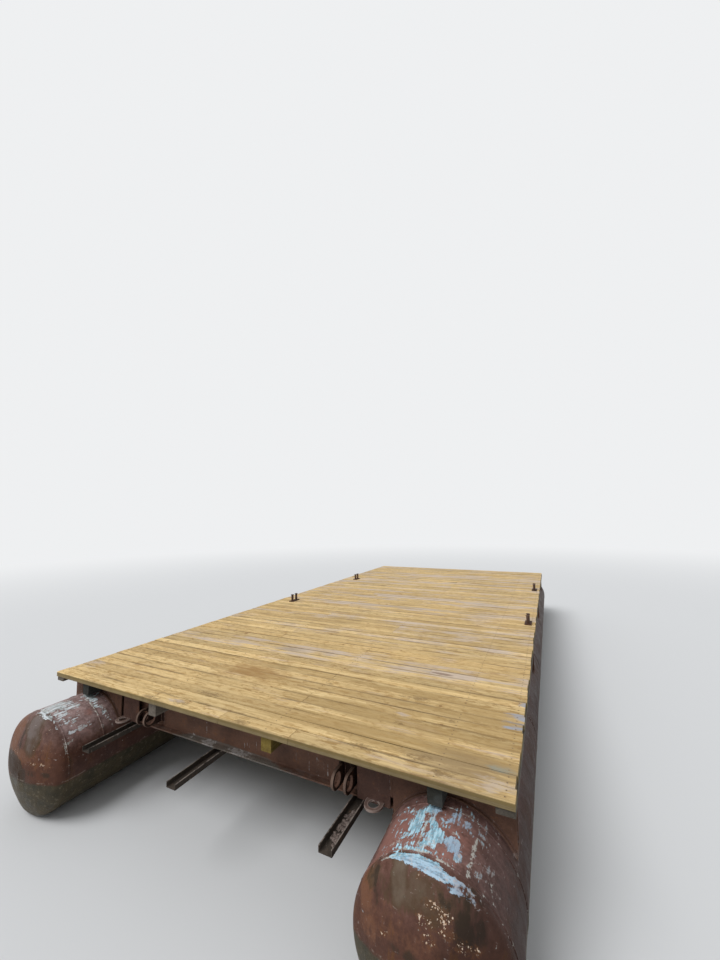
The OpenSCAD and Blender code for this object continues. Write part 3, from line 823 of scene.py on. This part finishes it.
def bolt_heads(name, places, radius, high, finish, sides, seed):
    """Bolt heads that stand at places: for each a prism that steps in to a low dome, turned about
    its own axis by lot."""
    draw = np.random.default_rng(seed)
    shares = np.array([(1.0, 0.0), (1.0, 0.70), (0.86, 0.92), (0.45, 1.0)])
    turn = np.arange(sides) * 2 * np.pi / sides + draw.random((len(places), 1, 1)) * 2 * np.pi
    ring = np.stack([np.cos(turn) * shares[:, :1] * radius, np.sin(turn) * shares[:, :1] * radius,
                     np.zeros_like(turn) + shares[:, 1:] * high], -1)
    points = ring + np.asarray(places, float)[:, None, None]
    faces = []
    for number in range(len(places)):
        faces += tube(len(shares), sides, number * len(shares) * sides)
    piece = surface(name, points, faces, finish)
    piece.data.set_sharp_from_angle(angle=math.radians(40))


bolts, post_welds = [], []
ring_turn = np.linspace(0, 2 * np.pi, 28, endpoint=False)
for side in ("left", "right"):
    for end in ("front", "rear"):
        name = f"{side}_{end}_posts"
        rounded(name, post_finish, 0.0015)
        low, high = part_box(name)
        middle = np.array([(low.x + high.x) / 2, (low.y + high.y) / 2, low.z + plate_thick])
        bolts += [middle + (a * bolt_reach[0], b * bolt_reach[1], 0) for a in (-1, 1) for b in (-1, 1)]
        for share in (-0.5, 0.5):
            out = np.stack([np.cos(ring_turn), np.sin(ring_turn), 0 * ring_turn], -1)
            path = middle + (0, share * post_pitch, 0.001) + out * (post_radius + 0.001)
            post_welds.append((path, out + (0, 0, 1), True))
bolt_heads("post_bolts", bolts, bolt_radius, bolt_high, post_finish, 6, 41)
beads("post_welds", post_welds, 0.005, 0.0035, post_finish, 42)

# Welds of the frame: fillets that hold the pads to the floats, the uprights to the pads, the ears
# to their back plate and the plate to the web, the guide channels under the girders, and the
# tongues of the pad eyes to their plates.
pad_inner, pad_outer = 0.5103, 0.5203
saddle_low, saddle_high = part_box("right_front_saddle")
saddle_half = (saddle_high.x - saddle_low.x) / 2 - 0.006
upright_faces = (-0.012, 0.087)
pad_edges = (-0.042, 0.117)
web_face, plate_face = 4.950, 4.962
bead_proud = 0.001
ear_faces = ((0.045, -1), (0.070, 1))
tip_places = [(-1, 5.018), (-1, 1.6727), (1, 1.6727), (1, 5.018)]
flange_span = (0.072, 0.003)
eye_faces = ((0.816, 1), (0.799, -1))
eye_bead_half, eye_bead_end = 0.072, -1.658

frame_weld, colour, blots, fine, _ = steel_finish(
    "frame_weld_paint", base=(0.120, 0.064, 0.050), dark=(0.076, 0.044, 0.036),
    rust=(0.150, 0.068, 0.034), wear=(0.26, 0.22, 0.20))
pale_spots = (blots * 0.5 + fine * 0.5).ramp(0.65, 0.85)
frame_weld.feed(Base_Color=frame_weld.mix(pale_spots * 0.4, colour, scuff_pale))


def straight(start, end, steps, out):
    """A straight run for a bead, with the way it stands out."""
    return np.linspace(start, end, steps), out, False


runs = []
for side in (-1, 1):
    for end, tip in tip_places:
        for reach, offsets in ((pad_inner, pad_edges), (pad_outer, upright_faces)):
            for offset in offsets:
                away = end if offset < 0 else -end
                lean = np.arcsin(np.linspace(-saddle_half, saddle_half, 96) / reach)
                radial = np.stack([side * np.sin(lean), 0 * lean, np.cos(lean)], -1)
                centre = (side * float_axis, end * (tip - offset), float_radius)
                runs.append((radial * (reach + bead_proud) + centre, radial + (0, away, 0), False))
for side in ("left", "right"):
    for end, away in (("front", -1), ("rear", 1)):
        low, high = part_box(f"{side}_{end}_lugs")
        middle, near_web = (low.x + high.x) / 2, away * (web_face + bead_proud)
        for edge, facing in ear_faces:
            for way in (-1, 1):
                foot = (middle + way * edge, away * plate_face, low.z + 0.004)
                head = (middle + way * edge, away * plate_face, high.z - 0.004)
                runs.append(straight(foot, head, 18, (way * facing, away, 0)))
        for way, side_x, side_z in ((-1, low.x, low.z), (1, high.x, high.z)):
            runs.append(straight((low.x, near_web, side_z), (high.x, near_web, side_z), 24, (0, away, way)))
            runs.append(straight((side_x, near_web, low.z), (side_x, near_web, high.z), 18, (way, away, 0)))
for name in guide_names:
    low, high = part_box(name)
    top = high.z - bead_proud
    for end, tip in tip_places:
        start, stop = [end * (tip - inset) for inset in flange_span]
        for edge, way in ((low.x, -1), (high.x, 1)):
            runs.append(straight((edge, start, top), (edge, stop, top), 10, (way, 0, -1)))
for side, middle in eye_ways.items():
    for end in (-1, 1):
        start, stop = max(middle - eye_bead_half, eye_bead_end), middle + eye_bead_half
        root = end * (eye_root + bead_proud)
        for z, up in eye_faces:
            runs.append(straight((start, root, z), (stop, root, z), 24, (0, end, up)))
beads("frame_welds", runs, 0.0055, 0.004, frame_weld, 43)

# Butt welds, ground nearly flush, that close the joint between the right closing plates and the
# saddle uprights beside them, from the top down to a third of the girder's height.
joint_x = (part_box("right_front_pad_eye")[1].x + saddle_low.x) / 2
joint_y = 5.0262
joint_foot, joint_top = 0.868, girder_high.z - 0.002
runs = [straight((joint_x, end * joint_y, joint_foot), (joint_x, end * joint_y, joint_top), 22, (0, end, 0))
        for end in (-1, 1)]
beads("joint_welds", runs, 0.0165, 0.0045, frame_paint, 45)

# Crumbs: rust flakes, bark and dry mud that have fallen into the right guide channel and lie on
# its floor near the front end.
crumb_count = 60
crumb_sizes = (0.006, 0.017)
crumb_brown = (0.060, 0.044, 0.036)
crumb_pale = (0.235, 0.185, 0.165)


def crumbs(name, count, low, high, sizes, finish, seed):
    """Loose crumbs between corners low and high, as one mesh: small balls pushed about by lot at
    each point and flattened, lying closer together near the middle of the stretch."""
    draw = np.random.default_rng(seed)
    ball = bmesh.new()
    bmesh.ops.create_icosphere(ball, subdivisions=2, radius=1.0)
    shape = np.array([vertex.co[:] for vertex in ball.verts])
    corners = np.array([[vertex.index for vertex in face.verts] for face in ball.faces])
    ball.free()
    centre = np.asarray(low) + draw.beta(2.2, 2.2, (count, 3)) * (np.asarray(high) - low)
    half = draw.uniform(*sizes, (count, 1)) * draw.uniform((0.8, 0.8, 0.3), (1.6, 1.6, 0.6), (count, 3))
    rough = 1 + 0.22 * draw.standard_normal((count, len(shape), 1))
    points = shape * rough * half[:, None] + centre[:, None]
    points[..., 2] = np.maximum(points[..., 2], low[2])
    faces = (corners + np.arange(count)[:, None, None] * len(shape)).reshape(-1, 3).tolist()
    surface(name, points, faces, finish)


crumb_finish = Finish("guide_crumbs", Specular_IOR_Level=0.3)
blots = crumb_finish.clouds(40, 4)
fine = crumb_finish.clouds(160, 4)
tone = crumb_finish.mix(blots, crumb_brown, crumb_pale)
crumb_finish.feed(Base_Color=crumb_finish.tinted(tone, 0.7 + 0.6 * fine), Roughness=0.75 + 0.2 * fine)
crumb_finish.relief(fine, 0.002)
low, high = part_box("right_guide_channel")
heap_low = (low.x + 0.016, low.y + 0.05, low.z + 0.0065)
heap_high = (high.x - 0.016, low.y + 0.46, low.z + 0.012)
crumbs("guide_crumbs", crumb_count, heap_low, heap_high, crumb_sizes, crumb_finish, 46)

# Timber: sawn pine. Its growth rings are shells round a pith that lies outside the stick, so the
# faces show long flames and streaks and the ends show arcs.
knot_scale = 2.2
knot_radius = 0.017
wander_waves = (1.3, 2.9, 5.1, 9.7)
wander_depth = 0.0008


def timber_finish(name, early, late, knot, grey, ring_gap=0.008):
    """Sawn pine read from the stick's own grain attribute, metres along, across and up from the
    pith: rings are ripples of the distance to the pith, fibres are noise drawn out along the
    stick, and knots are round spots with dark rims that the rings bend round."""
    wood = Finish(name, Specular_IOR_Level=0.15)
    grain = wood.read("grain", "Vector")
    shade, greyed, warm = wood.parts(wood.read("board", "Color"))
    _, side, rise = wood.parts(grain)
    flow = wood.noise((0.55, 4, 4), 3, vector=grain)
    spots = wood.node("ShaderNodeTexVoronoi", {"voronoi_dimensions": "2D", "feature": "F1"},
                      {"Vector": wood.stretched(grain, (1, 1, 0)), "Scale": knot_scale})
    spot_tone = wood.parts(spots.other("Color"))[0]
    reach = spots / knot_scale
    size = spot_tone.ramp(0.45, 1.0) * knot_radius
    eye = (size * 1.15 - reach).ramp(0, 0.003)
    halo = (size * 3.0 - reach).ramp(0, 0.02) * spot_tone.ramp(0.5, 0.7)
    pith = (side * side + rise * rise) ** 0.5 + (flow - 0.5) * 0.055 + halo * 0.012
    rings = ((pith * (2 * math.pi / ring_gap)).sine() * 0.5 + 0.5) ** 1.6
    streak = wood.clouds((0.8, 42, 42), 5, 0.62, vector=grain)
    wide = wood.clouds((0.6, 15, 15), 3, 0.5, vector=grain)
    fibre = wood.noise((6, 330, 330), 3, 0.6, vector=grain)
    mottle = wood.clouds((9, 30, 30), 6, 0.66, 0.5, vector=grain)
    patchy = wood.clouds((1.3, 2, 2), 2, vector=grain)
    share = rings * 0.20 + streak * 0.42 + wide * 0.20 + mottle.ramp(0.40, 0.90) * (0.25 + patchy * 0.45)
    colour = wood.mix(share, early, late)
    colour = wood.tinted(colour, 0.72 + shade * 0.38 + (fibre - 0.5) * 0.34 + (wide - 0.5) * 0.16)
    colour = wood.mix(warm * 0.35, colour, late)
    colour = wood.mix(halo * 0.40, colour, late)
    colour = wood.mix(eye * 0.75, colour, knot)
    age = (greyed + (streak - 0.5) * 0.5 + (wide - 0.5) * 0.4 + (patchy - 0.5) * 0.7).ramp(0.35, 0.95)
    colour = wood.mix(age * 0.8, colour, grey)
    return wood, colour, rings, streak, fibre, eye


def sticks(name, low, high, length_steps, finish, seed, round_edge, looks, cup=0.0):
    """Sawn sticks along one axis between corners low and high, as one mesh. Round each stick runs
    a rectangle with rounded edges. Its top is cupped, its sides wander by a slow sum of sines, and
    its grain attribute is its own place about a pith drawn by lot. The board attribute holds its
    looks and, last, the distance of a point to the nearest long side."""
    low, high = np.asarray(low, float), np.asarray(high, float)
    draw = np.random.default_rng(seed)
    axis = int(np.argmax((high - low)[0]))
    side = 1 - axis
    count = len(low)
    arc = np.radians(np.linspace(0, 90, 4))
    profile, corner = [], []
    for number, where in enumerate(((1, 1), (-1, 1), (-1, -1), (1, -1))):
        for turn in arc + number * np.pi / 2:
            profile.append((np.cos(turn), np.sin(turn)))
            corner.append(where)
        if number == 0:
            for share in (0.6, 0.2, -0.2, -0.6):
                profile.append((0, 1))
                corner.append((share, 1))
    profile, corner = np.array(profile), np.array(corner, float)
    steps = np.linspace(0, 1, length_steps)
    half = (high - low) / 2
    middle = (high + low) / 2
    edge = round_edge * (0.6 + 0.8 * draw.random((count, 1, 1)))
    wander = np.zeros((count, length_steps, 1))
    for wave in wander_waves:
        phase = draw.random((count, 1, 1)) * 2 * np.pi
        wander += np.sin(wave * np.pi * steps[None, :, None] + phase) * wander_depth
    across = corner[None, None, :, 0] * (half[:, side, None, None] - edge) + profile[None, None, :, 0] * edge
    upward = corner[None, None, :, 1] * (half[:, 2, None, None] - edge) + profile[None, None, :, 1] * edge
    across = across - np.abs(wander) * np.sign(corner[None, None, :, 0]) * 0.7
    limit = half[:, side, None, None]
    bow = cup * draw.uniform(-1, 1, (count, 1, 1))
    sag = np.abs(bow) * (across / limit) ** 2
    lift = np.where(bow > 0, -sag, sag - np.abs(bow)) - np.abs(wander) * (cup > 0)
    upward = upward + np.where(corner[None, None, :, 1] > 0, lift, 0)
    run = (steps[None, :, None] * 2 - 1) * half[:, axis, None, None] + 0 * upward
    points = np.empty((count, length_steps, len(profile), 3))
    points[..., axis] = run + middle[:, axis, None, None]
    points[..., side] = across + middle[:, side, None, None]
    points[..., 2] = upward + middle[:, 2, None, None]

    round_it = len(profile)
    faces = []
    for number in range(count):
        faces += tube(length_steps, round_it, number * length_steps * round_it)
    if axis == 0:
        faces = [face[::-1] for face in faces]
    piece = surface(name, points, faces, finish)

    pith_side = draw.uniform(-0.05, 0.05, (count, 1, 1))
    pith_rise = draw.uniform(0.05, 0.16, (count, 1, 1)) * draw.choice([-1, 1], (count, 1, 1))
    grain = np.stack([run + draw.random((count, 1, 1)) * 40, across - pith_side + 0 * run,
                      upward - pith_rise + 0 * run], -1)
    paint_on(piece, "grain", "FLOAT_VECTOR", grain)
    board = np.ones((count, length_steps, round_it, 4))
    board[..., :3] = np.asarray(looks, float)[:, None, None, :]
    board[..., 3] = np.minimum(limit - np.abs(across), 1)
    paint_on(piece, "board", "FLOAT_COLOR", board)
    piece.data.set_sharp_from_angle(angle=math.radians(35))
    return piece


# Joists: long square timbers that stand on the girders, weathered grey-brown or dark, but for one
# fresher olive-yellow stick near the middle, laid in later. The two over the floats are painted
# nearly black: weathered dark, and a painted shade for the deep shadow under the deck. Flat battens
# edge the deck.
joist_knot = (0.05, 0.035, 0.02)
damp_tone = (0.016, 0.016, 0.012)


def joist_finish(name, early, late, grey):
    """Sawn pine gone dark in damp clouds."""
    wood, colour, rings, streak, fibre, _ = timber_finish(name, early, late, joist_knot, grey, 0.007)
    damp = wood.noise(3.0, 4).ramp(0.45, 0.66)
    colour = wood.mix(damp * 0.5, colour, damp_tone)
    wood.feed(Base_Color=colour, Roughness=0.72 + 0.15 * streak)
    wood.relief(fibre * 0.6 + rings * 0.3 + streak * 0.5, 0.003)
    return wood


# The nearly black timber of the joists over the floats is partly a painted shade.
dark_and_shaded_timber = joist_finish("dark_and_shaded_timber", early=(0.052, 0.050, 0.042), late=(0.026, 0.025, 0.021),
                           grey=(0.052, 0.055, 0.052))
grey_timber = joist_finish("grey_timber", early=(0.200, 0.172, 0.142), late=(0.110, 0.092, 0.074),
                           grey=(0.170, 0.152, 0.135))
fresh_timber = joist_finish("fresh_timber", early=(0.250, 0.185, 0.045), late=(0.150, 0.100, 0.022),
                            grey=(0.17, 0.135, 0.055))
joists = {"left_edge_joist": (grey_timber, (0.3, 0.5, 0.1)),
          "left_float_joist": (dark_and_shaded_timber, (0.5, 0.6, 0.0)),
          "left_inner_joist": (grey_timber, (0.4, 0.4, 0.0)),
          "middle_joist": (fresh_timber, (0.6, 0.0, 0.3)),
          "right_float_joist": (dark_and_shaded_timber, (0.45, 0.5, 0.0)),
          "right_edge_joist": (grey_timber, (0.3, 0.5, 0.1))}
for number, (name, (finish, look)) in enumerate(joists.items()):
    low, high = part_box(name)
    piece = sticks(name + "_timber", [low], [high], 64, finish, 31 + number, 0.006, [look])
    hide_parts(name)

# Deck: sawn boards laid across the joists with uneven narrow gaps, butted where one is too short
# and screwed twice to each joist. They are straw yellow, alternately fresher and darker, with some
# greyed ones among them, dirt and painted shade along the gaps, painted shade on the sides of the
# boards, a brown stain and some spilt blue-grey paint.
deck_low, deck_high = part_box("deck")
deck_early = (0.835, 0.632, 0.322)
deck_late = (0.430, 0.272, 0.104)
deck_knot = (0.24, 0.13, 0.05)
deck_grey = (0.540, 0.450, 0.380)
gap_dirt_and_shade_tone = (0.20, 0.135, 0.066)
bleed_tone = (0.22, 0.13, 0.06)
side_low_tone, side_high_tone = (0.165, 0.129, 0.068), (0.128, 0.094, 0.036)
board_rows = 72
gap = 0.002
pitch = (deck_high.y - deck_low.y + gap) / board_rows
butt_gap = 0.003
joist_lines = (-2.095, -0.915, 0.590, 2.095)
edge_lines = (-2.572, 2.572)
known_cuts = {0: (0.053, 0.851), 12: (1.570,), 38: (-0.76, 1.05)}
known_looks = {(0, 0): (0.75, 0.05, 0.1), (0, 1): (0.50, 0.25, 0.3), (0, 2): (0.40, 0.22, 0.2),
               (12, 0): (0.50, 0.48, 0.0), (12, 1): (0.35, 0.80, 0.0),
               (38, 1): (1.20, 1.10, 0.0), (38, 2): (0.45, 0.90, 0.1)}
end_wander, deepest_sink, widest_shave = 0.012, 0.003, 0.0045

draw = np.random.default_rng(7)
low, high, looks = [], [], []
for row in range(board_rows):
    y = deck_low.y + row * pitch
    left = deck_low.x + (0 if row % 9 == 0 else draw.uniform(0, end_wander))
    right = deck_high.x - (0 if row % 7 == 0 else draw.uniform(0, end_wander))
    by_lot = joist_lines[1:3][draw.integers(2):][:1] if draw.random() < 0.5 else ()
    cuts = [left, *known_cuts.get(row, by_lot), right]
    shave = draw.random(2) ** 2.2 * widest_shave * (row > 0, row < board_rows - 1)
    for number, (start, end) in enumerate(zip(cuts[:-1], cuts[1:])):
        sunk = draw.uniform(0, deepest_sink) if row % 5 else 0.0
        low.append((start + (butt_gap if number else 0), y + shave[0], deck_low.z))
        high.append((end, y + pitch - gap - shave[1], deck_high.z - sunk))
        shade = 0.5 + (0.36 if row % 2 else -0.30) * draw.random() + draw.uniform(-0.18, 0.18)
        grey = draw.random() ** 2.6 * (0.22 if row < 11 else 0.60)
        if row > 46 and row % 2:
            grey += 0.45 * draw.random()
        grey += 0.24 * min(max((row - 13) / 16, 0), 1)
        looks.append(known_looks.get((row, number), (shade, grey, draw.random() ** 2)))

deck_wood, colour, rings, streak, fibre, eye = timber_finish(
    "deck_timber", deck_early, deck_late, deck_knot, deck_grey)
x, y, z = deck_wood.parts(deck_wood.place)
to_side = deck_wood.read("board", "Alpha")
blots = deck_wood.clouds((6, 22, 6), 7, 0.68, 0.4)
traffic = deck_wood.clouds((0.8, 1.1, 1), 4)
colour = deck_wood.tinted(colour, 0.92 + 0.14 * traffic)
grime = deck_wood.clouds((1.1, 4, 1), 4, 0.6)
# Towards their long edges the boards darken: dirt along the gaps, and painted shade where the gaps shade the
# edges.
gap_dirt_and_shade = (0.008 + 0.010 * blots - to_side).ramp(-0.008, 0.008) * grime.ramp(0.2, 0.8)
colour = deck_wood.mix(gap_dirt_and_shade * 0.60, colour, gap_dirt_and_shade_tone)

# Marks on the deck: ellipses whose rims are torn by a noise, in groups laid one over another, each
# with its noise, its share, its tone and how far it is torn.
swirl = deck_wood.clouds((13, 34, 13), 6, 0.68, 1.4)
soft = deck_wood.clouds((2.5, 9, 2), 5, 0.6)
by_board = deck_wood.clouds((0.5, 6.5, 1), 4, 0.55)
deck_marks = (
    (by_board, 0.62, (0.370, 0.245, 0.098), 2.6, [
        ((1.75, -4.60), (1.40, 0.85)), ((2.35, -4.87), (0.50, 0.10))]),
    (by_board, 0.80, (0.300, 0.212, 0.110), 1.4, [((2.30, -5.12), (0.62, 0.34))]),
    (soft, 0.95, (0.340, 0.200, 0.074), 0.9, [((-0.43, -4.28), (0.66, 0.34))]),
    (swirl, 0.75, (0.215, 0.140, 0.062), 1.7, [
        ((-0.925, -5.23), (0.14, 0.05)), ((1.48, -5.10), (0.16, 0.05)), ((1.90, -5.06), (0.10, 0.04)),
        ((1.98, -5.03), (0.10, 0.04)), ((2.13, -5.16), (0.13, 0.05)), ((1.63, -4.65), (0.07, 0.035)),
        ((2.04, -4.43), (0.06, 0.035)), ((0.65, -4.20), (0.05, 0.03)), ((1.62, -4.14), (0.20, 0.05)),
        ((-0.40, -4.92), (0.22, 0.06)), ((0.30, -5.21), (0.10, 0.04)), ((-0.54, -5.18), (0.13, 0.05))]),
    (blots, 0.60, (0.50, 0.42, 0.36), 1.7, [
        ((1.606, -4.467), (0.09, 0.05)), ((-2.50, -4.90), (0.22, 0.12)), ((2.50, -5.13), (0.20, 0.10)),
        ((-0.62, -5.17), (0.14, 0.04))]),
    (soft, 0.85, (0.250, 0.175, 0.130), 1.7, [((1.69, -3.44), (0.16, 0.035))]),
    (soft, 0.95, (0.325, 0.345, 0.400), 1.7, [
        ((2.57, -4.26), (0.19, 0.12)), ((2.60, -4.12), (0.16, 0.10)), ((2.62, -3.86), (0.10, 0.06))]),
    (soft, 0.60, (0.250, 0.290, 0.260), 1.7, [((2.53, -4.93), (0.14, 0.05))]))
for break_up, share, tone, torn, ellipses in deck_marks:
    field = deck_wood.spots(x, y, ellipses) + (break_up - 0.5) * torn - 0.25
    colour = deck_wood.mix(field.ramp(-0.1, 1.0) * share, colour, tone)

near_line = abs(x - joist_lines[0])
for line in (*joist_lines[1:], *edge_lines):
    near_line = near_line.or_less(abs(x - line))
in_row = (y - (deck_low.y - 10 * pitch)) / pitch
in_row = deck_wood.node("ShaderNodeMath", {"operation": "FRACT"}, {0: in_row})
screw_share = 0.27
near_screw = abs(abs(in_row - 0.5) - (0.5 - screw_share)) * pitch
from_screw = (near_line * near_line + near_screw * near_screw) ** 0.5
bleed = (from_screw + (blots - 0.5) * 0.008).ramp(0.013, 0.004)
colour = deck_wood.mix(bleed * 0.30, colour, bleed_tone)

# The sides of the boards are painted far darker than their tops, darker at the top and paler below: painted
# shade on the upright faces.
side_face_shade = z.ramp(deck_high.z - 0.004, deck_high.z - 0.010)
side_shade_tone = deck_wood.mix(z.ramp(deck_low.z + 0.018, deck_low.z + 0.034), side_low_tone, side_high_tone)
side_shade_tone = deck_wood.tinted(side_shade_tone, 0.8 + 0.25 * streak + 0.2 * blots)
colour = deck_wood.mix(side_face_shade * 0.85, colour, side_shade_tone)
deck_wood.feed(Base_Color=colour, Roughness=0.62 + 0.2 * streak)
deck_wood.relief(fibre * 0.45 + rings * 0.3 + streak * 0.6 - eye * 0.4, 0.002)
deck = sticks("deck_boards", low, high, 30, deck_wood, 5, 0.0024, looks, cup=0.0022)
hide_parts("deck")

# Deck screws: zinc screws with small round heads just below the wood, long gone dull and rusty.
screw_radius, screw_high = 0.0048, 0.0016
screw_sunk, screw_wander = 0.0018, 0.004
screw_finish, tone, _, _, _ = steel_finish(
    "screw_steel", base=(0.200, 0.150, 0.095), dark=(0.130, 0.092, 0.058), rust=(0.190, 0.095, 0.045),
    wear=(0.34, 0.30, 0.24))
screw_finish.feed(Base_Color=tone)
places = []
for (start, first, _), (end, _, top) in zip(low, high):
    row = int((first - deck_low.y) / pitch + 1e-6)
    for line in (*joist_lines, *edge_lines):
        if start + 0.02 < line < end - 0.02:
            for share in (screw_share, 1 - screw_share):
                place = deck_low.y + (row + share) * pitch
                places.append((line + draw.uniform(-screw_wander, screw_wander), place, top - screw_sunk))
bolt_heads("deck_screws", places, screw_radius, screw_high, screw_finish, 8, 44)
